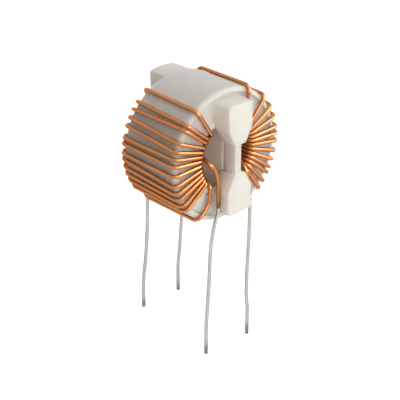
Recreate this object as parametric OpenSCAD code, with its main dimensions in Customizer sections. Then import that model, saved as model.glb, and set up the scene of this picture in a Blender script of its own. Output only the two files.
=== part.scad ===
// Common mode choke: a ring core in a moulded case, two copper windings kept apart by a divider,
// and four tinned leads that drop from the windings into a board.
// The ring's axis lies along Y with the lid at -Y, and z = 0 is the lowest line of the case.

/* [Core] */
// Width of the core's section, from its inside to its outside
core_w = 3.9; // [3:0.1:5]
// Length of the core along its axis
core_l = 10.6; // [8:0.1:14]
// Rounding of the core's edges
core_r = 0.5; // [0.2:0.1:0.8]
// Gap between the core and the walls round it
core_gap = 0.1; // [0.05:0.05:0.2]

/* [Case] */
// Diameter of the bore
bore_d = 13; // [11:0.1:15]
// Thickness of the outer wall at the front rim
rim_wall = 1; // [0.9:0.1:1.4]
// Thickness of the wall round the bore
bore_wall = 1; // [0.8:0.1:1.2]
// Thickness of the rear wall
rear_wall = 1.2; // [1:0.1:2]
// Rounding of the edges that the wire bends over
edge_r = 0.85; // [0.5:0.05:0.9]

/* [Lid] */
// Thickness of the lid
lid_t = 1.4; // [0.8:0.1:2]
// Depth of the lid's face below the rim
lid_recess = 0.4; // [0.3:0.05:0.8]
// Width of the ledge that carries the lid's edge
lid_ledge = 0.3; // [0.2:0.05:0.4]
// Gap between the lid and the walls round it
lid_gap = 0.05; // [0.02:0.01:0.1]
// Width of the raised collar round the bore
collar_w = 1.4; // [1.2:0.1:2]

/* [Divider] */
// Width of the two blocks on the lid
block_w = 6; // [4:0.1:6.2]
// How far the blocks stand out from the rim
block_out = 3.7; // [2.5:0.1:5]
// Distance of the blocks' outer ends from the lid's edge
block_in = 1.1; // [0.6:0.05:2]
// Height of the middle between the blocks above the ring's axis
block_rise = 0.3; // [0:0.05:0.3]
// Rounding of the blocks' corners
block_r = 0.5; // [0.3:0.1:1.2]
// Distance from the axis at which each block starts to taper
taper_far = 6; // [5:0.1:7]
// Distance from the axis at which the taper ends
taper_near = 2.9; // [2:0.1:3.5]
// Width of a block where its taper ends
neck_w = 2.7; // [2.2:0.1:3.2]
// Thickness of the web between the blocks
web_t = 1.5; // [1:0.1:2]
// Depth of the web's front below the blocks' fronts
web_in = 0.6; // [0.2:0.1:1.5]
// Thickness of the web inside the bore
bore_web_t = 2.1; // [1.4:0.1:2.6]
// Width of the two lugs on the rear wall
lug_w = 6.4; // [4:0.1:6.6]
// Height of the lugs, measured inward from the outside of the case
lug_h = 4; // [2:0.1:4.2]
// How far the lugs stand out from the rear wall
lug_out = 3.7; // [2:0.1:5]
// Rounding of the lugs' corners
lug_r = 0.6; // [0.2:0.1:1]

/* [Wire] */
// Diameter of the enamelled wire
wire_d = 0.75; // [0.6:0.01:0.76]
// Gap between the wire and what it lies on
lay_gap = 0.05; // [0.03:0.01:0.1]
// Gap between neighbouring passes in the bore
pass_gap = 0.02; // [0.01:0.01:0.08]

/* [Leads] */
// Diameter of the tinned leads
lead_d = 0.7; // [0.5:0.01:0.74]
// How far the front leads reach below the case
lead_l = 27; // [16:0.5:40]
// How far the rear leads reach below the case
rear_lead_l = 25.5; // [16:0.5:40]
// Length of the straight end of each lead
pin_l = 5; // [3:0.5:8]
// Height above the lowest line of the case at which the tinning starts
tin_z = 3.8; // [2.6:0.1:4.2]

/* [Hidden] */
$fn = 64;

white = [0.88, 0.88, 0.84];
ferrite = [0.18, 0.18, 0.19];
copper = [0.72, 0.42, 0.22];
tin = [0.68, 0.68, 0.66];

bore_r = bore_d / 2;
core_in_r = bore_r + bore_wall + core_gap;
core_out_r = core_in_r + core_w;
seat_r = core_out_r + core_gap;
rim_r = seat_r + lid_ledge;
lid_r = rim_r - lid_gap;
case_r = rim_r + rim_wall;
case_l = rear_wall + core_l + 2 * core_gap + lid_t + lid_recess;
half_l = case_l / 2;
axis_z = case_r;
lid_face = half_l - lid_recess;
lid_back = lid_face - lid_t;
cavity_back = rear_wall - half_l;
block_face = half_l + block_out;
block_end = lid_r - block_in;
web_face = block_face - web_in;

wire_r = wire_d / 2;
bend_r = edge_r + lay_gap + wire_r;
outer_lay = case_r + lay_gap + wire_r;
inner_lay = bore_r - lay_gap - wire_r;
over_lay = inner_lay - wire_d - lay_gap;
face_lay = half_l + lay_gap + wire_r;
second_lay = face_lay + wire_d + lay_gap;
bow_r = (outer_lay + inner_lay) / 2;
wire_sides = 8;
bend_steps = 3;
// The wire that comes in crosses the bore over the other passes in this many steps
cross_steps = 4;
lead_bend_r = 80;
// The bent length of a lead is this much slimmer than its straight end, and meets the end inside its rim
lead_step = 0.01;

// Angles of the turns on the outside of the case, from the top down, spaced unevenly as wound by hand
left_front = [36, 49, 53, 64, 71, 77, 83, 91, 100, 107, 113, 121, 127, 145];
left_rear = [34, 46, 53, 60, 67, 77, 82, 90, 95, 102, 109, 116, 124, 143];
right_front = [23, 46, 60, 71, 81, 87, 94, 103, 111, 118, 123, 131, 138, 150];
right_rear = [28, 42, 57, 68, 78, 84, 92, 101, 108, 115, 121, 128, 135, 147];
// Middle of the passes in the bore, and where the wire comes in from the front, for the left and the right
left_mid_angle = 86;
left_entry_angle = 90;
right_mid_angle = 91;
right_entry_angle = 134;
// The most that the passes spread
pass_spread_angle = 101;
// The last turn is slack, and its front leg bows out by this angle half way
last_bow_angle = 6;
pass_angle = (wire_d + pass_gap) / inner_lay * 180 / PI;
// One layer in the bore holds this many turns
turns = min(len(left_front), floor(pass_spread_angle / pass_angle) + 1);

// Gaps between the wires that drop and the blocks and lugs beside them, and how far the front ones stand off
front_left_gap = 0.08;
front_right_gap = 1;
rear_left_gap = 2.7;
rear_right_gap = 0.3;
front_left_lift = 0.25;
front_right_lift = 0.7;
// Where each wire turns from copper to tin, in x and y
front_left_drop = [-block_w / 2 - wire_r - front_left_gap, -second_lay - front_left_lift];
front_right_drop = [block_w / 2 + wire_r + front_right_gap, -second_lay - front_right_lift];
rear_left_drop = [-lug_w / 2 - wire_r - rear_left_gap, second_lay];
rear_right_drop = [lug_w / 2 + wire_r + rear_right_gap, second_lay];
// Height of the straight copper above the tinning, and where the left wire swings to the bore,
// below the axis and to the side
drop_l = 1.3;
swing_low = 3.6;
swing_high = 1.2;
swing_out = 0.6;

// Where each straight end stands on the board, from the drop, in x and y
front_left_foot = [-3, 0];
front_right_foot = [-0.1, -0.1];
rear_left_foot = [0.6, 2.9];
rear_right_foot = [0, 2.9];

// Bends of the leads: x and y from the drop, and the share of the way from the tinning to the straight end
front_left_way = [[-1, 0, 0.13], [-1.8, 0, 0.27], [-2.1, 0, 0.42], [-2.2, 0, 0.57], [-2.6, 0, 0.78]];
front_right_way = [[0, -0.1, 0.12], [-0.1, -0.1, 0.35], [-0.4, -0.1, 0.6], [-0.5, -0.1, 0.84]];
rear_left_way = [[0, 0.2, 0.15], [0.2, 0.8, 0.45], [0.4, 1.6, 0.7]];
rear_right_way = [[0, 0.8, 0.2], [0, 1.6, 0.45], [0, 2, 0.65], [0, 2.4, 0.82]];

// A point on the ring: side is -1 for left and 1 for right, angle is from the top, w is forward
function ring_point(side, angle, r, w) =
    [side * r * sin(angle), -w, axis_z + r * cos(angle)];

function unit(v) = v / norm(v);

// Points of a round bend at corner b between a and c, cut shorter where the legs are short;
// where the legs run straight on, only the corner
function bend(a, b, c, r, steps) =
    let (
        to_a = unit(a - b),
        to_c = unit(c - b),
        half = acos(max(-1, min(1, to_a * to_c))) / 2,
        cut = min(r / tan(half), 0.45 * norm(a - b), 0.45 * norm(c - b)),
        bend_r = cut * tan(half),
        centre = b + unit(to_a + to_c) * bend_r / sin(half),
        out = b + to_a * cut - centre,
        sweep = 180 - 2 * half
    )
    half > 89.9 ? [b] :
    [for (j = [0:steps]) centre + out * cos(sweep * j / steps) - to_a * bend_r * sin(sweep * j / steps)];

// A route through corners with every corner rounded
function rounded_route(corners, r, steps) =
    let (last = len(corners) - 1)
    concat(
        [corners[0]],
        [for (i = [1:last - 1]) each bend(corners[i - 1], corners[i], corners[i + 1], r, steps)],
        [corners[last]]
    );

// Direction of a route at its point i
function heading(route, i) =
    let (last = len(route) - 1)
    i == 0 ? unit(route[1] - route[0]) :
    i == last ? unit(route[last] - route[last - 1]) :
    unit(unit(route[i] - route[i - 1]) + unit(route[i + 1] - route[i]));

function across(v, along) = unit(v - (v * along) * along);

// A first sideways direction that is not along the route
function first_side(along) = across(abs(along[1]) < 0.8 ? [0, 1, 0] : [1, 0, 0], along);

// Sideways directions carried along the route without twist
function sides_of(route) =
    [for (i = 0, s = first_side(heading(route, 0)); i < len(route);
        i = i + 1, s = i < len(route) ? across(s, heading(route, i)) : s) s];

// Wire of radius r along a route
module wire(route, r) {
    count = len(route);
    n = wire_sides;
    sides = sides_of(route);
    points = [
        for (i = [0:count - 1])
            let (along = heading(route, i), s = sides[i], t = cross(along, s))
            for (k = [0:n - 1]) route[i] + r * (s * cos(360 * k / n) + t * sin(360 * k / n))
    ];
    skin = [
        for (i = [0:count - 2], k = [0:n - 1])
            let (a = i * n + k, b = i * n + (k + 1) % n)
            each [[a, a + n, b + n], [a, b + n, b]]
    ];
    ends = [[for (k = [0:n - 1]) k], [for (k = [n - 1:-1:0]) (count - 1) * n + k]];
    polyhedron(points = points, faces = concat(skin, ends));
}

// The angle that a list holds for turn i
function lay_angle(list, i) = list[round(i * (len(list) - 1) / max(1, turns - 1))];

// Corners of one winding: in through the bore, round the case turn by turn, and out over the rear turns;
// lay holds the middle angle of the passes and the angle of the wire that comes in
function winding_corners(side, lay, front, rear, way_in, way_out) =
    let (
        first = lay[0] - pass_angle * (turns - 1) / 2,
        entry = lay[1],
        start = first - pass_angle,
        last = turns - 1
    )
    concat(
        way_in,
        [for (k = [0:1 / cross_steps:1])
            let (w = second_lay - (second_lay + face_lay) * k)
            ring_point(side, entry + (start - entry) * k, over_lay, w)],
        [for (i = [0:last])
            let (pass = first + i * pass_angle, front_angle = lay_angle(front, i))
            each concat(
                [ring_point(side, lay_angle(rear, i), outer_lay, -face_lay)],
                [ring_point(side, front_angle, outer_lay, face_lay)],
                i < last ? [] : [ring_point(side, front_angle + last_bow_angle, bow_r, face_lay)],
                [ring_point(side, pass, inner_lay, face_lay)],
                [ring_point(side, pass, inner_lay, i < last ? -face_lay : -second_lay)]
            )],
        way_out
    );

// Corners of one lead from its tinning to the straight end
function lead_corners(drop, way, foot, length) =
    let (
        top = tin_z,
        low = pin_l - length,
        start = 0.04,
        finish = 0.95
    )
    concat(
        [[drop[0], drop[1], top], [drop[0], drop[1], top + (low - top) * start]],
        [for (p = way) [drop[0] + p[0], drop[1] + p[1], top + (low - top) * p[2]]],
        [[drop[0] + foot[0], drop[1] + foot[1], top + (low - top) * finish]],
        [[drop[0] + foot[0], drop[1] + foot[1], low]]
    );

// Stands the ring frame (x, up, forward) in the part's frame
module in_ring() {
    translate([0, 0, axis_z]) rotate([90, 0, 0]) children();
}

// Half section of a ring with four rounded corners
module rounded_section(r0, r1, w0, w1, r) {
    translate([r0, w0 + r]) square([r1 - r0, w1 - w0 - 2 * r]);
    translate([r0 + r, w0]) square([r1 - r0 - 2 * r, w1 - w0]);
    for (x = [r0 + r, r1 - r], w = [w0 + r, w1 - r]) {
        translate([x, w]) circle(r);
    }
}

module cup_section() {
    difference() {
        rounded_section(bore_r, case_r, -half_l, half_l, edge_r);
        translate([bore_r + bore_wall, cavity_back])
            square([seat_r - bore_r - bore_wall, case_l]);
        translate([0, lid_back]) square([rim_r, case_l]);
    }
}

module lid_section() {
    collar_low = half_l - edge_r;
    difference() {
        translate([bore_r, lid_back]) square([lid_r - bore_r, half_l - lid_back]);
        translate([bore_r + collar_w, lid_face]) square([rim_r, case_l]);
        difference() {
            translate([bore_r - 1, collar_low]) square([edge_r + 1, edge_r + 1]);
            translate([bore_r + edge_r, collar_low]) circle(edge_r);
        }
    }
}

// One block seen from the front, from the neck of its taper out to its end
module block_outline() {
    half = block_w / 2;
    end = block_end;
    polygon([
        [-neck_w / 2, taper_near], [neck_w / 2, taper_near], [half, taper_far],
        [half, end - block_r], [-half, end - block_r], [-half, taper_far]
    ]);
    translate([block_r - half, taper_far]) square([block_w - 2 * block_r, end - taper_far]);
    for (x = [block_r - half, half - block_r]) {
        translate([x, end - block_r]) circle(block_r);
    }
}

// Two blocks stand on the lid and bridge the bore's rim, with a web between them in front of the bore
module divider() {
    difference() {
        translate([0, block_rise, lid_face]) linear_extrude(block_face - lid_face) {
            block_outline();
            rotate(180) block_outline();
        }
        translate([0, 0, lid_back]) cylinder(r = bore_r, h = half_l - lid_back);
    }
    translate([-web_t / 2, block_rise - taper_near - 0.5, half_l])
        cube([web_t, 2 * taper_near + 1, web_face - half_l]);
}

// A lug seen from the rear: its outer side follows the case, and its corners are rounded
module lug_outline() {
    x = lug_w / 2 - lug_r;
    top = sqrt(pow(case_r - lug_r, 2) - x * x);
    low = case_r - lug_h;
    intersection() {
        circle(case_r);
        polygon([[-x, low], [x, low], [x, top], [2 * x, 2 * top], [-2 * x, 2 * top], [-x, top]]);
    }
    translate([-lug_w / 2, low + lug_r]) square([lug_w, top - low - lug_r]);
    for (corner = [[-x, low + lug_r], [x, low + lug_r], [-x, top], [x, top]]) {
        translate(corner) circle(lug_r);
    }
}

module lug() {
    translate([0, 0, -half_l - lug_out]) linear_extrude(lug_out + edge_r + 0.2) lug_outline();
}

module bore_web() {
    deep = bore_r + bore_wall / 2;
    reach = sqrt(bore_r * bore_r - bore_web_t * bore_web_t / 4) - lid_gap;
    translate([-bore_web_t / 2, -deep, -half_l + edge_r])
        cube([bore_web_t, 2 * deep, lid_back - lid_gap + half_l - edge_r]);
    translate([-bore_web_t / 2, -reach, -half_l])
        cube([bore_web_t, 2 * reach, case_l]);
}

module ferrite_core() {
    color(ferrite) in_ring() rotate_extrude()
        rounded_section(core_in_r, core_out_r, cavity_back, cavity_back + core_l, core_r);
}

module case_cup() {
    color(white) in_ring() {
        rotate_extrude() cup_section();
        bore_web();
        lug();
        rotate([0, 0, 180]) lug();
    }
}

module case_lid() {
    color(white) in_ring() {
        rotate_extrude() lid_section();
        divider();
    }
}

module winding_left() {
    d = front_left_drop;
    e = rear_left_drop;
    way_in = [
        [d[0], d[1], tin_z],
        [d[0], d[1], axis_z - swing_low],
        [d[0] - swing_out, -second_lay, axis_z - swing_high]
    ];
    way_out = [[e[0], e[1], tin_z + drop_l], [e[0], e[1], tin_z]];
    lay = [left_mid_angle, left_entry_angle];
    corners = winding_corners(-1, lay, left_front, left_rear, way_in, way_out);
    color(copper) wire(rounded_route(corners, bend_r, bend_steps), wire_r);
}

module winding_right() {
    d = front_right_drop;
    e = rear_right_drop;
    way_in = [
        [d[0], d[1], tin_z],
        [d[0], d[1], tin_z + drop_l]
    ];
    way_out = [[e[0], e[1], tin_z + drop_l], [e[0], e[1], tin_z]];
    lay = [right_mid_angle, right_entry_angle];
    corners = winding_corners(1, lay, right_front, right_rear, way_in, way_out);
    color(copper) wire(rounded_route(corners, bend_r, bend_steps), wire_r);
}

// A lead: the bent length and the straight end that goes into the board
module lead(drop, way, foot, length) {
    corners = lead_corners(drop, way, foot, length);
    color(tin) {
        wire(rounded_route(corners, lead_bend_r, bend_steps), lead_d / 2 - lead_step);
        translate([drop[0] + foot[0], drop[1] + foot[1], -length]) cylinder(d = lead_d, h = pin_l);
    }
}

module lead_front_left() {
    lead(front_left_drop, front_left_way, front_left_foot, lead_l);
}

module lead_front_right() {
    lead(front_right_drop, front_right_way, front_right_foot, lead_l);
}

module lead_rear_left() {
    lead(rear_left_drop, rear_left_way, rear_left_foot, rear_lead_l);
}

module lead_rear_right() {
    lead(rear_right_drop, rear_right_way, rear_right_foot, rear_lead_l);
}

ferrite_core();
case_cup();
case_lid();
winding_left();
winding_right();
lead_front_left();
lead_front_right();
lead_rear_left();
lead_rear_right();
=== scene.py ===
import math

import bmesh
import bpy
from mathutils import Matrix, Vector


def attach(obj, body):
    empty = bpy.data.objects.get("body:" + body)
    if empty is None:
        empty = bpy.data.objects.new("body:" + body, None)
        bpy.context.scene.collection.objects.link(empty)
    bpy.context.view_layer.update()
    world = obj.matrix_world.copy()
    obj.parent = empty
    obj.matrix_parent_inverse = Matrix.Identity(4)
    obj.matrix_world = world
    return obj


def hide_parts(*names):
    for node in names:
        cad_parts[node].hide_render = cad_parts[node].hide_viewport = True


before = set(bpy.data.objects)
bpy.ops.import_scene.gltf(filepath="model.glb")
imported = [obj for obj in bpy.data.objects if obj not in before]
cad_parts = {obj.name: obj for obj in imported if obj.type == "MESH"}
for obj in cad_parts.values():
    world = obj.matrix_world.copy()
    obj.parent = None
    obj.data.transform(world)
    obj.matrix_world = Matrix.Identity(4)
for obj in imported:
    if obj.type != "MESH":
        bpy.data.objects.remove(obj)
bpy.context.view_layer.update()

MM = 0.001

# Sizes of the case in millimetres, as in the part's source
case_r = 12.9
half_l = 6.9
bore_r = 6.5
rim_r = 11.9
seat_r = 11.6
bore_wall = 1.0
edge_r = 0.85
lid_face = 6.5
lid_back = 5.1
lid_gap = 0.05
collar_w = 1.4
cavity_back = -5.7
block_w = 6.0
block_face = 10.6
block_end = 10.75
block_rise = 0.3
block_r = 0.5
taper_far = 6.0
taper_near = 2.9
neck_w = 2.7
web_t = 1.5
web_face = 10.0
bore_web_t = 2.1
lug_w = 6.4
lug_h = 4.0
lug_out = 3.7
lug_r = 0.6
axis_z = case_r

# Small roundings of the case's edges
rim_round = 0.12
collar_round = 0.2
lid_round = 0.15
block_round = 0.3
web_round = 0.15
lug_round = 0.4

# How far joined forms reach into each other, and how far the lugs stand proud so that no faces coincide
block_sink = 0.3
web_overlap = 0.6
cut_over = 1.0
lug_proud = 0.003

# Sizes of the wires and the places where they lie
wire_r = 0.375
lay_gap = 0.05
pass_gap = 0.02
lead_r = 0.35
lead_l = 27.0
rear_lead_l = 25.5
pin_l = 5.0
tin_z = 3.8
outer_lay = case_r + lay_gap + wire_r
inner_lay = bore_r - lay_gap - wire_r
over_lay = inner_lay - 2 * wire_r - lay_gap
face_lay = half_l + lay_gap + wire_r
second_lay = face_lay + 2 * wire_r + lay_gap
bow_r = (outer_lay + inner_lay) / 2
pass_angle = math.degrees((2 * wire_r + pass_gap) / inner_lay)
last_bow_angle = 6.0
cross_steps = 4
drop_l = 1.3
swing_low = 3.6
swing_high = 1.2
swing_out = 0.6

# Bend radii: over the case's edges, in a last turn's bow, where the left wire comes in, and in the leads
bend_r = edge_r + lay_gap + wire_r
bow_bend_r = 5.0
swing_bend_r = 8.0
entry_bend_r = 2.7
lead_bend_r = 80.0
# The most of a straight leg that one bend takes up
leg_share = 0.45

# Angles of the turns on the outside of the case, from the top down, spaced unevenly as wound by hand
LEFT_FRONT = (36, 49, 53, 64, 71, 77, 83, 91, 100, 107, 113, 121, 127, 145)
LEFT_REAR = (34, 46, 53, 60, 67, 77, 82, 90, 95, 102, 109, 116, 124, 143)
RIGHT_FRONT = (23, 46, 60, 71, 81, 87, 94, 103, 111, 118, 123, 131, 138, 150)
RIGHT_REAR = (28, 42, 57, 68, 78, 84, 92, 101, 108, 115, 121, 128, 135, 147)
# Middle of the passes in the bore, and where the wire comes in from the front
left_mid_angle = 86.0
left_entry_angle = 90.0
right_mid_angle = 91.0
right_entry_angle = 134.0

# Gaps between the wires that drop and the blocks and lugs beside them, and how far the front ones stand off
front_left_gap = 0.08
front_right_gap = 1.0
rear_left_gap = 2.7
rear_right_gap = 0.3
front_left_lift = 0.25
front_right_lift = 0.7

# Shares of a lead's way at which it leaves its drop and reaches the line of its straight end
lead_start = 0.04
lead_finish = 0.95

# For each lead: where its wire turns from copper to tin, and how far it reaches below the case;
# then, from that place, its straight end (x, y) and its bends (x, y, share of the way down)
LEADS = {
    "front_left": {
        "drop": (-block_w / 2 - wire_r - front_left_gap, -second_lay - front_left_lift),
        "length": lead_l,
        "foot": (-3.0, 0.0),
        "way": ((-1.0, 0.0, 0.13), (-1.8, 0.0, 0.27), (-2.1, 0.0, 0.42), (-2.2, 0.0, 0.57),
                (-2.6, 0.0, 0.78)),
    },
    "front_right": {
        "drop": (block_w / 2 + wire_r + front_right_gap, -second_lay - front_right_lift),
        "length": lead_l,
        "foot": (-0.1, -0.1),
        "way": ((0.0, -0.1, 0.12), (-0.1, -0.1, 0.35), (-0.4, -0.1, 0.6), (-0.5, -0.1, 0.84)),
    },
    "rear_left": {
        "drop": (-lug_w / 2 - wire_r - rear_left_gap, second_lay),
        "length": rear_lead_l,
        "foot": (0.6, 2.9),
        "way": ((0.0, 0.2, 0.15), (0.2, 0.8, 0.45), (0.4, 1.6, 0.7)),
    },
    "rear_right": {
        "drop": (lug_w / 2 + wire_r + rear_right_gap, second_lay),
        "length": rear_lead_l,
        "foot": (0.0, 2.9),
        "way": ((0.0, 0.8, 0.2), (0.0, 1.6, 0.45), (0.0, 2.0, 0.65), (0.0, 2.4, 0.82)),
    },
}

# Fineness of the meshes: steps of a round or a bend, and angles in degrees above which an edge counts
ring_segments = 224
edge_steps = 8
corner_steps = 6
small_steps = 5
lug_top_steps = 16
bevel_steps = 4
web_bevel_steps = 3
wire_sides = 16
wire_bend_steps = 7
lead_bend_steps = 8
bevel_angle = 25
sharp_angle = 40
# Two places closer than this many metres are the same
same_place = 1e-6


# Routes of the wires; a corner is a place and its bend radius

def ring_point(side, angle, r, w):
    """A point on the ring: side is -1 for left and 1 for right, angle is from the top, w is forward."""
    a = math.radians(angle)
    return Vector((side * r * math.sin(a), -w, axis_z + r * math.cos(a)))


def bend(a, b, c, r, steps):
    """Points of a round bend at corner b between a and c, cut shorter where the legs are short."""
    to_a = (a - b).normalized()
    to_c = (c - b).normalized()
    half = math.acos(max(-1.0, min(1.0, to_a.dot(to_c)))) / 2
    cut = min(r / math.tan(half), leg_share * (a - b).length, leg_share * (c - b).length)
    true_r = cut * math.tan(half)
    centre = b + (to_a + to_c).normalized() * true_r / math.sin(half)
    arm = b + to_a * cut - centre
    sweep = math.pi - 2 * half
    angles = [sweep * j / steps for j in range(steps + 1)]
    return [centre + arm * math.cos(angle) - to_a * true_r * math.sin(angle) for angle in angles]


def rounded_route(corners, steps):
    """Points of a wire that goes through its corners with each inner corner rounded."""
    route = [corners[0][0]]
    for (a, _), (b, r), (c, _) in zip(corners, corners[1:], corners[2:]):
        route += bend(a, b, c, r, steps)
    return route + [corners[-1][0]]


def winding_corners(side, mid, entry, front, rear, way_in, way_out):
    """Corners of one winding: in over the passes in the bore, round the case, and out at the rear."""
    last = len(front) - 1
    first = mid - pass_angle * last / 2
    start = first - pass_angle
    corners = list(way_in)

    def lay(angle, r, w, radius=bend_r):
        corners.append((ring_point(side, angle, r, w), radius))

    for k in range(cross_steps + 1):
        lay(entry + (start - entry) * k / cross_steps, over_lay,
            second_lay - (second_lay + face_lay) * k / cross_steps)
    for i, (front_angle, rear_angle) in enumerate(zip(front, rear)):
        inner_angle = first + i * pass_angle
        lay(rear_angle, outer_lay, -face_lay)
        lay(front_angle, outer_lay, face_lay)
        if i == last:
            lay(front_angle + last_bow_angle, bow_r, face_lay, bow_bend_r)
        lay(inner_angle, inner_lay, face_lay)
        lay(inner_angle, inner_lay, -second_lay if i == last else -face_lay)
    return corners + list(way_out)


def lead_corners(drop, length, foot, way):
    """Corners of one lead, from its tinning to the tip of its straight end."""
    low = pin_l - length

    def at(x, y, share):
        return Vector((drop[0] + x, drop[1] + y, tin_z + (low - tin_z) * share))

    places = [at(0, 0, 0), at(0, 0, lead_start)]
    places += [at(x, y, share) for x, y, share in way]
    places += [at(*foot, lead_finish), Vector((drop[0] + foot[0], drop[1] + foot[1], -length))]
    return [(place, lead_bend_r) for place in places]


# Meshes

def to_mesh(bm, name):
    mesh = bpy.data.meshes.new(name)
    bm.to_mesh(mesh)
    bm.free()
    return mesh


def headings(route):
    """Direction of a route at each of its points."""
    legs = [(b - a).normalized() for a, b in zip(route, route[1:])]
    none = [Vector()]
    return [(a + b).normalized() for a, b in zip(none + legs, legs + none)]


def tube(name, route, radius):
    """A closed round tube along a route that starts upright, with a UV map of angle and length."""
    bm = bmesh.new()
    uv = bm.loops.layers.uv.new("along")
    angles = [2 * math.pi * k / wire_sides for k in range(wire_sides)]
    side = Vector((0, 1, 0))
    rings = []
    for place, along in zip(route, headings(route)):
        side = (side - along * side.dot(along)).normalized()
        across = along.cross(side)
        arms = [side * math.cos(a) + across * math.sin(a) for a in angles]
        rings.append([bm.verts.new((place + radius * arm) * MM) for arm in arms])
    lengths = [0.0]
    for a, b in zip(route, route[1:]):
        lengths.append(lengths[-1] + (b - a).length)
    for i in range(len(route) - 1):
        for k in range(wire_sides):
            m = (k + 1) % wire_sides
            face = bm.faces.new((rings[i][k], rings[i][m], rings[i + 1][m], rings[i + 1][k]))
            face.smooth = True
            spots = ((k, i), (k + 1, i), (k + 1, i + 1), (k, i + 1))
            for loop, (a, j) in zip(face.loops, spots):
                loop[uv].uv = (a / wire_sides, lengths[j])
    bm.faces.new(list(reversed(rings[0])))
    bm.faces.new(rings[-1])
    return to_mesh(bm, name)


def arc(cx, cy, r, start, stop, steps=edge_steps):
    """Points of an arc between two angles in degrees."""
    angles = [math.radians(start + (stop - start) * j / steps) for j in range(steps + 1)]
    return [(cx + r * math.cos(a), cy + r * math.sin(a)) for a in angles]


def in_ring(x, u, w):
    """A place in metres from x, height above the ring's axis and distance forward."""
    return Vector((x, -w, axis_z + u)) * MM


def lathe(profile):
    """Turns a closed profile of (radius, forward) points round the ring's axis."""
    bm = bmesh.new()
    rings = []
    for j in range(ring_segments):
        a = 2 * math.pi * j / ring_segments
        rings.append([bm.verts.new(in_ring(r * math.sin(a), r * math.cos(a), w)) for r, w in profile])
    count = len(profile)
    for j in range(ring_segments):
        p, q = rings[j], rings[(j + 1) % ring_segments]
        for k in range(count):
            m = (k + 1) % count
            bm.faces.new((p[k], p[m], q[m], q[k]))
    bmesh.ops.recalc_face_normals(bm, faces=bm.faces[:])
    return to_mesh(bm, "turned")


def prism(outline, w0, w1, rounding=0.0, steps=bevel_steps, buried=None):
    """Pulls an outline in (x, up) from w0 to w1 and rounds its edges, but not those of the buried end."""
    bm = bmesh.new()
    low = [bm.verts.new(in_ring(x, u, w0)) for x, u in outline]
    high = [bm.verts.new(in_ring(x, u, w1)) for x, u in outline]
    bm.faces.new(low)
    bm.faces.new(list(reversed(high)))
    for i in range(len(outline)):
        j = (i + 1) % len(outline)
        bm.faces.new((low[j], low[i], high[i], high[j]))
    bmesh.ops.recalc_face_normals(bm, faces=bm.faces[:])
    edges = [e for e in bm.edges if e.calc_face_angle(0.0) > math.radians(bevel_angle)]
    if buried is not None:
        edges = [e for e in edges if any(abs(v.co.y + buried * MM) > same_place for v in e.verts)]
    if rounding > 0:
        bmesh.ops.bevel(bm, geom=edges, offset=rounding * MM, segments=steps, profile=0.5,
                        affect="EDGES", clamp_overlap=True)
    return to_mesh(bm, "pulled")


def plate(thickness, low, high, w0, w1):
    """An upright web with its middle in the plane x = 0."""
    half = thickness / 2
    outline = [(-half, low), (half, low), (half, high), (-half, high)]
    return prism(outline, w0, w1, web_round, web_bevel_steps)


def combine(name, base, *steps):
    """Joins closed meshes to the base or cuts them from it, one after the other, into one skin."""
    objs = [bpy.data.objects.new(name, mesh) for mesh in (base, *(mesh for mesh, _ in steps))]
    for obj in objs:
        bpy.context.scene.collection.objects.link(obj)
    for tool, (_, operation) in zip(objs[1:], steps):
        modifier = objs[0].modifiers.new(operation, "BOOLEAN")
        modifier.operation = operation
        modifier.solver = "EXACT"
        modifier.object = tool
    whole = objs[0].evaluated_get(bpy.context.evaluated_depsgraph_get())
    mesh = bpy.data.meshes.new_from_object(whole)
    mesh.name = name
    for obj in objs:
        bpy.data.objects.remove(obj)
    return mesh


def piece(name, mesh, material, node, edged=False):
    """Puts a mesh in the scene in place of a node; an edged one keeps its sharp edges and flat faces."""
    obj = bpy.data.objects.new(name, mesh)
    bpy.context.scene.collection.objects.link(obj)
    mesh.materials.append(material)
    if edged:
        mesh.polygons.foreach_set("use_smooth", [True] * len(mesh.polygons))
        mesh.set_sharp_from_angle(angle=math.radians(sharp_angle))
        weighted = obj.modifiers.new("weighted", "WEIGHTED_NORMAL")
        weighted.keep_sharp = True
    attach(obj, "root")
    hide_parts(node)


# Materials

# Where in a noise's range its two values start to blend and stop, and the depth of all bumps in metres
blend_start = 0.35
blend_stop = 0.65
bump_depth = 0.0001


def grey(value):
    return (value, value, value, 1)


def new_material(name):
    mat = bpy.data.materials.new(name)
    mat.use_nodes = True
    nodes, links = mat.node_tree.nodes, mat.node_tree.links
    return mat, nodes, links, nodes["Principled BSDF"]


def set_sockets(node, values):
    for name, value in values.items():
        node.inputs[name].default_value = value


def noise(nodes, links, scale=1.0, detail=2.0, stretch=None):
    """Noise in the object's space, or stretched along the UV map of a wire."""
    coord = nodes.new("ShaderNodeTexCoord")
    tex = nodes.new("ShaderNodeTexNoise")
    set_sockets(tex, {"Scale": scale, "Detail": detail})
    if stretch:
        mapping = nodes.new("ShaderNodeMapping")
        set_sockets(mapping, {"Scale": stretch})
        links.new(coord.outputs["UV"], mapping.inputs["Vector"])
        links.new(mapping.outputs["Vector"], tex.inputs["Vector"])
    else:
        links.new(coord.outputs["Object"], tex.inputs["Vector"])
    return tex.outputs["Fac"]


def vary(nodes, links, source, socket, low, high):
    """Lets a noise move a socket between two values."""
    blend = nodes.new("ShaderNodeValToRGB")
    stops = blend.color_ramp.elements
    stops[0].position = blend_start
    stops[0].color = low
    stops[1].position = blend_stop
    stops[1].color = high
    links.new(source, blend.inputs["Fac"])
    links.new(blend.outputs["Color"], socket)


def bump(nodes, links, source, shader, strength):
    node = nodes.new("ShaderNodeBump")
    set_sockets(node, {"Strength": strength, "Distance": bump_depth})
    links.new(source, node.inputs["Height"])
    links.new(node.outputs["Normal"], shader.inputs["Normal"])


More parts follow.
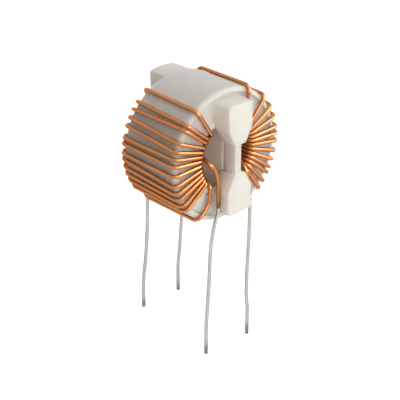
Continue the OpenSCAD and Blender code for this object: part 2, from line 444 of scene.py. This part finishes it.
def seen_rays(nodes, links):
    """One for rays that show the background directly, in a reflection or through glass, else zero."""
    path = nodes.new("ShaderNodeLightPath")
    seen = path.outputs["Is Camera Ray"]
    for kind in ("Is Glossy Ray", "Is Transmission Ray"):
        either = nodes.new("ShaderNodeMath")
        either.operation = "MAXIMUM"
        links.new(seen, either.inputs[0])
        links.new(path.outputs[kind], either.inputs[1])
        seen = either.outputs["Value"]
    return seen


def make_plastic():
    mat, nodes, links, shader = new_material("case_plastic")
    vary(nodes, links, noise(nodes, links, scale=180.0, detail=4.0), shader.inputs["Base Color"],
         low=(0.84, 0.835, 0.79, 1), high=(0.88, 0.875, 0.83, 1))
    vary(nodes, links, noise(nodes, links, scale=420.0), shader.inputs["Roughness"],
         low=grey(0.40), high=grey(0.52))
    set_sockets(shader, {
        "Subsurface Weight": 1.0,
        "Subsurface Radius": (1.0, 0.97, 0.92),
        "Subsurface Scale": 0.003,
        "IOR": 1.5,
        "Specular IOR Level": 0.15,
    })
    bump(nodes, links, noise(nodes, links, scale=2600.0), shader, strength=0.08)
    return mat


def make_copper():
    mat, nodes, links, shader = new_material("copper_wire")
    vary(nodes, links, noise(nodes, links, stretch=(2.0, 0.12, 1.0)), shader.inputs["Base Color"],
         low=(0.45, 0.166, 0.053, 1), high=(0.55, 0.208, 0.068, 1))
    vary(nodes, links, noise(nodes, links, scale=900.0), shader.inputs["Roughness"],
         low=grey(0.12), high=grey(0.18))
    set_sockets(shader, {
        "Metallic": 0.75,
        "Specular Tint": (0.6, 0.35, 0.22, 1),
        "Coat Weight": 0.25,
        "Coat Roughness": 0.08,
    })
    bump(nodes, links, noise(nodes, links, stretch=(2.0, 0.15, 1.0)), shader, strength=0.03)
    return mat


def make_tin():
    mat, nodes, links, shader = new_material("tinned_wire")
    vary(nodes, links, noise(nodes, links, detail=3.0, stretch=(3.0, 0.2, 1.0)),
         shader.inputs["Base Color"], low=(0.36, 0.36, 0.34, 1), high=(0.46, 0.46, 0.435, 1))
    vary(nodes, links, noise(nodes, links, scale=1200.0), shader.inputs["Roughness"],
         low=grey(0.24), high=grey(0.40))
    set_sockets(shader, {"Metallic": 1.0, "Specular Tint": grey(0.15)})
    bump(nodes, links, noise(nodes, links, detail=3.0, stretch=(3.0, 0.3, 1.0)), shader, strength=0.05)
    return mat


def make_ferrite():
    mat, nodes, links, shader = new_material("ferrite")
    vary(nodes, links, noise(nodes, links, scale=900.0, detail=5.0), shader.inputs["Base Color"],
         low=(0.045, 0.045, 0.05, 1), high=(0.085, 0.085, 0.09, 1))
    set_sockets(shader, {"Roughness": 0.7})
    bump(nodes, links, noise(nodes, links, scale=3000.0, detail=3.0), shader, strength=0.2)
    return mat


def make_floor():
    """Pale floor; seen directly or in a reflection it is lifted to white and keeps the shadow."""
    mat, nodes, links, shader = new_material("floor")
    vary(nodes, links, noise(nodes, links, scale=12.0), shader.inputs["Base Color"],
         low=grey(0.90), high=grey(0.92))
    set_sockets(shader, {
        "Roughness": 0.9,
        "Specular IOR Level": 0.0,
        "Emission Color": (0.66, 0.67, 0.69, 1),
    })
    links.new(seen_rays(nodes, links), shader.inputs["Emission Strength"])
    return mat


# Pieces

def lug_outline():
    """Upper lug seen from the front, with rounded corners and a top that follows the case."""
    x = lug_w / 2 - lug_r
    top = math.sqrt((case_r - lug_r) ** 2 - x ** 2)
    low = case_r - lug_h + lug_r
    turn = math.degrees(math.atan2(x, top))
    return (arc(-x, top, lug_r, 180, 90 + turn, corner_steps)
            + arc(0, 0, case_r + lug_proud, 90 + turn, 90 - turn, lug_top_steps)[1:-1]
            + arc(x, top, lug_r, 90 - turn, 0, corner_steps)
            + arc(x, low, lug_r, 0, -90, corner_steps)
            + arc(-x, low, lug_r, 270, 180, corner_steps))


def cup_mesh():
    """Turned body, web in the bore and two lugs on the rear wall."""
    body = lathe([(rim_r, lid_back)]
                 + arc(rim_r + rim_round, half_l - rim_round, rim_round, 180, 90, small_steps)
                 + arc(case_r - edge_r, half_l - edge_r, edge_r, 90, 0)
                 + arc(case_r - edge_r, edge_r - half_l, edge_r, 0, -90)
                 + arc(bore_r + edge_r, edge_r - half_l, edge_r, 270, 180)
                 + [(bore_r, lid_back), (bore_r + bore_wall, lid_back), (bore_r + bore_wall, cavity_back),
                    (seat_r, cavity_back), (seat_r, lid_back)])
    reach = math.sqrt(bore_r ** 2 - bore_web_t ** 2 / 4) - lid_gap
    root = bore_r + bore_wall / 2
    rear = edge_r - half_l
    webs = [plate(bore_web_t, -reach, reach, -half_l, half_l),
            plate(bore_web_t, -root, root, rear, lid_back - lid_gap)]
    lugs = [prism([(x * sign, u * sign) for x, u in lug_outline()], -half_l - lug_out, rear,
                  lug_round, buried=rear) for sign in (1, -1)]
    return combine("case_cup_form", body, *((solid, "UNION") for solid in webs + lugs))


def lid_mesh():
    """Recessed ring with the divider's two blocks and the web between them."""
    lid_r = rim_r - lid_gap
    collar_r = bore_r + collar_w
    ring = lathe([(bore_r, lid_back)]
                 + arc(bore_r + edge_r, half_l - edge_r, edge_r, 180, 90)
                 + arc(collar_r - collar_round, half_l - collar_round, collar_round, 90, 0, small_steps)
                 + [(collar_r, lid_face)]
                 + arc(lid_r - lid_round, lid_face - lid_round, lid_round, 90, 0, small_steps)
                 + [(lid_r, lid_back)])
    half_block = block_w / 2
    side = ([(neck_w / 2, taper_near), (half_block, taper_far)]
            + arc(half_block - block_r, block_end - block_r, block_r, 0, 90, corner_steps))
    outline = side + [(-x, u) for x, u in reversed(side)]
    root = lid_face - block_sink
    upper, lower = [prism([(x * sign, u * sign + block_rise) for x, u in outline], root, block_face,
                          block_round, buried=root) for sign in (1, -1)]
    circle = arc(0, 0, bore_r, 0, 360 - 360 / ring_segments, ring_segments - 1)
    bore = prism(circle, lid_back - cut_over, half_l)
    reach = taper_near + web_overlap
    web = plate(web_t, block_rise - reach, block_rise + reach, half_l, web_face)
    return combine("case_lid_form", upper, (lower, "UNION"), (bore, "DIFFERENCE"),
                   (web, "UNION"), (ring, "UNION"))


def winding(hand, side, mid, entry, front, rear, way_in):
    """One winding, whose wire ends where the rear lead of its side starts."""
    end = LEADS["rear_" + hand]["drop"]
    way_out = [(Vector((*end, tin_z + drop_l)), bend_r), (Vector((*end, tin_z)), bend_r)]
    corners = winding_corners(side, mid, entry, front, rear, way_in, way_out)
    name = "winding_" + hand
    mesh = tube(name + "_wire", rounded_route(corners, wire_bend_steps), wire_r)
    piece(name + "_wire", mesh, copper, name)


plastic = make_plastic()
copper = make_copper()
tinned = make_tin()

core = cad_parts["ferrite_core"]
core.data.materials.clear()
core.data.materials.append(make_ferrite())

piece("case_cup_form", cup_mesh(), plastic, "case_cup", edged=True)
piece("case_lid_form", lid_mesh(), plastic, "case_lid", edged=True)

# The left wire swings to the side on its way to the bore, and the right one goes straight to it
drop = LEADS["front_left"]["drop"]
left_in = [(Vector((*drop, tin_z)), bend_r),
           (Vector((*drop, axis_z - swing_low)), swing_bend_r),
           (Vector((drop[0] - swing_out, -second_lay, axis_z - swing_high)), entry_bend_r)]
winding("left", -1, left_mid_angle, left_entry_angle, LEFT_FRONT, LEFT_REAR, left_in)
drop = LEADS["front_right"]["drop"]
right_in = [(Vector((*drop, tin_z)), bend_r),
            (Vector((*drop, tin_z + drop_l)), bend_r)]
winding("right", 1, right_mid_angle, right_entry_angle, RIGHT_FRONT, RIGHT_REAR, right_in)

for place, lead in LEADS.items():
    name = "lead_" + place
    mesh = tube(name + "_wire", rounded_route(lead_corners(**lead), lead_bend_steps), lead_r)
    piece(name + "_wire", mesh, tinned, name)

# Floor and light, in metres and watts; the room is brightest toward the front right and above
floor_half = 0.3
lamp_aim = Vector((0, 0, 0.01))
room_colour = (1, 0.93, 0.83, 1)
room_toward = (0.62, -0.58, 0.53)
room_dim = 0.06
room_bright = 0.4

bm = bmesh.new()
bmesh.ops.create_grid(bm, x_segments=1, y_segments=1, size=floor_half)
floor = bpy.data.objects.new("floor", to_mesh(bm, "floor"))
floor.location.z = -lead_l * MM
floor.data.materials.append(make_floor())
bpy.context.scene.collection.objects.link(floor)


def lamp(name, spot, size, energy, colour=(1, 1, 1)):
    """A round lamp that points at the object."""
    data = bpy.data.lights.new(name, "AREA")
    data.shape = "DISK"
    data.size = size
    data.energy = energy
    data.color = colour
    obj = bpy.data.objects.new(name, data)
    obj.location = spot
    obj.rotation_euler = (lamp_aim - Vector(spot)).to_track_quat("-Z", "Y").to_euler()
    bpy.context.scene.collection.objects.link(obj)
    return obj


lamp("key", spot=(0.36, -0.36, 0.26), size=0.3, energy=0.45, colour=(0.97, 0.985, 1))
softbox = lamp("softbox", spot=(0.4, -0.38, 0.18), size=0.8, energy=7.0)
softbox.visible_diffuse = False
lamp("fill", spot=(-0.1, -0.5, 0.12), size=0.3, energy=1.15, colour=(1, 0.95, 0.87))
lamp("top", spot=(0.05, -0.12, 0.5), size=0.3, energy=0.58)
lamp("rear", spot=(0.12, 0.5, 0.1), size=0.3, energy=0.6)
lamp("back", spot=(0.05, 0.33, 0.38), size=0.4, energy=0.15)


def make_world():
    """White background where it is seen, and the warm room for all other light."""
    world = bpy.data.worlds.new("studio")
    world.use_nodes = True
    nodes, links = world.node_tree.nodes, world.node_tree.links
    nodes.clear()
    white = nodes.new("ShaderNodeBackground")
    set_sockets(white, {"Color": grey(1), "Strength": 1.0})
    room = nodes.new("ShaderNodeBackground")
    set_sockets(room, {"Color": room_colour})
    coord = nodes.new("ShaderNodeTexCoord")
    toward = nodes.new("ShaderNodeVectorMath")
    toward.operation = "DOT_PRODUCT"
    toward.inputs[1].default_value = room_toward
    level = nodes.new("ShaderNodeMapRange")
    set_sockets(level, {"From Min": -1.0, "To Min": room_dim, "To Max": room_bright})
    links.new(coord.outputs["Generated"], toward.inputs[0])
    links.new(toward.outputs["Value"], level.inputs["Value"])
    links.new(level.outputs["Result"], room.inputs["Strength"])
    mix = nodes.new("ShaderNodeMixShader")
    links.new(seen_rays(nodes, links), mix.inputs["Fac"])
    links.new(room.outputs["Background"], mix.inputs[1])
    links.new(white.outputs["Background"], mix.inputs[2])
    out = nodes.new("ShaderNodeOutputWorld")
    links.new(mix.outputs["Shader"], out.inputs["Surface"])
    return world


bpy.context.scene.world = make_world()

# Camera: angles in degrees, distance in millimetres and lens in pixels of the photo, and how many pixels
# the middle of the ring lies to the right of the picture's middle and above it
camera_azimuth = -43.27
camera_elevation = 26.91
camera_distance = 205.6
photo_px = 400
focal_px = 1100.0
ring_right_px = 0.65
ring_up_px = 56.31
sensor_mm = 36.0
near_clip = 0.001


def make_camera():
    azimuth, elevation = math.radians(camera_azimuth), math.radians(camera_elevation)
    level = math.cos(elevation)
    back = Vector((math.sin(azimuth) * level, -math.cos(azimuth) * level, math.sin(elevation)))
    right = Vector((math.cos(azimuth), math.sin(azimuth), 0))
    up = back.cross(right)
    px = camera_distance / focal_px
    centre = Vector((0, 0, axis_z)) - right * (ring_right_px * px) - up * (ring_up_px * px)
    spot = (centre + back * camera_distance) * MM
    lens = bpy.data.cameras.new("camera")
    lens.sensor_width = sensor_mm
    lens.lens = focal_px / photo_px * sensor_mm
    lens.clip_start = near_clip
    camera = bpy.data.objects.new("camera", lens)
    camera.matrix_world = Matrix(((right.x, up.x, back.x, spot.x),
                                  (right.y, up.y, back.y, spot.y),
                                  (right.z, up.z, back.z, spot.z),
                                  (0, 0, 0, 1)))
    bpy.context.scene.collection.objects.link(camera)
    return camera


bpy.context.scene.camera = make_camera()

view = bpy.context.scene.view_settings
view.view_transform = "Standard"
